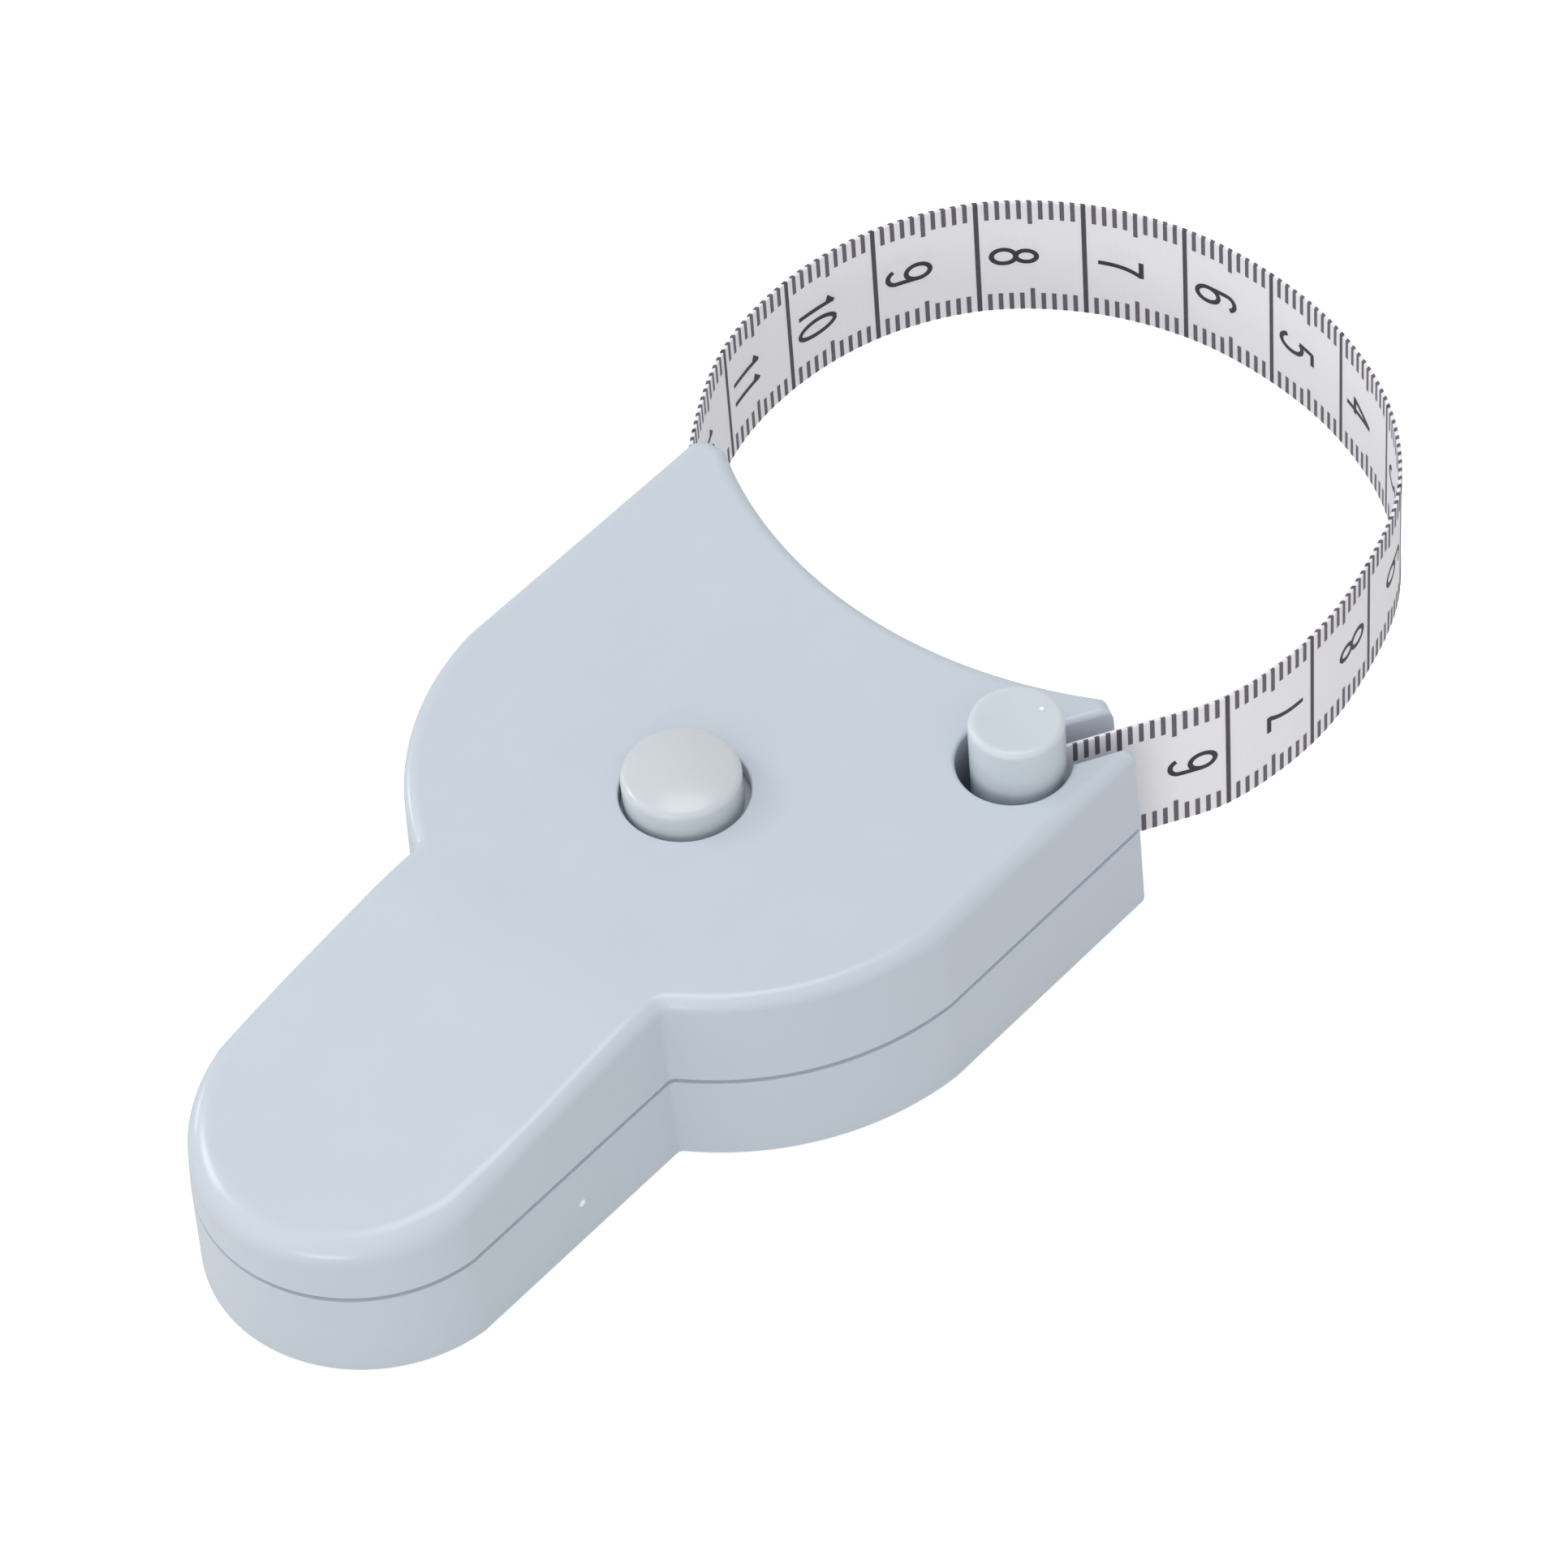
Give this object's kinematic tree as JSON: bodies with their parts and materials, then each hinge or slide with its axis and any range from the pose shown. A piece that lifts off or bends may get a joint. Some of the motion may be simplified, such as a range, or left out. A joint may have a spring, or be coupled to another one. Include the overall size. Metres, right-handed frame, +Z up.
{
  "type": "cloth tape measure",
  "caption": "Retractable cloth body tape measure: flat case with a grip, button and curved mouth, its tape looped from one horn to a peg in the other.",
  "frame": {"origin": "on the flat underside of the case, below the middle of the button and of the reel", "axes": "+Z up through the top face and the button, +Y from the grip towards the mouth and the tape loop, +X towards the horn with the peg"},
  "size_m": [0.0658, 0.1363, 0.0241],
  "materials": {
    "shell": "gloss",
    "button": "gloss",
    "peg": "gloss",
    "tape": "printed",
    "reel_plastic": "matte",
    "inner_plastic": "matte",
    "spring_steel": "satin",
    "screw_steel": "satin"
  },
  "bodies": {
    "case": {"upper_shell": "shell", "lower_shell": "shell", "arbor": "inner_plastic", "thrust_washer": "inner_plastic", "mainspring": "spring_steel", "tape_lead": "tape", "tape_loop": "tape", "button_spring": "spring_steel", "case_screw_1": "screw_steel", "case_screw_2": "screw_steel", "case_screw_3": "screw_steel", "case_screw_4": "screw_steel"},
    "reel": {"reel": "reel_plastic", "reel_cap": "reel_plastic", "spring_cover": "inner_plastic", "tape_pack": "tape"},
    "button": {"button": "button", "brake_ring": "inner_plastic"},
    "peg": {"peg": "peg", "peg_pin": "screw_steel", "tape_hem": "tape", "tape_tail": "tape"}
  },
  "joints": [
    {"name": "reel_turn", "type": "hinge", "parent": "case", "child": "reel", "pos_m": [0, 0, 0], "axis": [0, 0, 1], "range_deg": [-4620, 470]},
    {"name": "button_press", "type": "slide", "parent": "case", "child": "button", "axis": [0, 0, -1], "range_m": [0, 0.0015], "stiffness_N_per_m": 500, "deforming": ["button_spring"]},
    {"name": "peg_lift", "type": "slide", "parent": "case", "child": "peg", "axis": [0, 0, 1], "range_m": [0, 0.0148]}
  ]
}
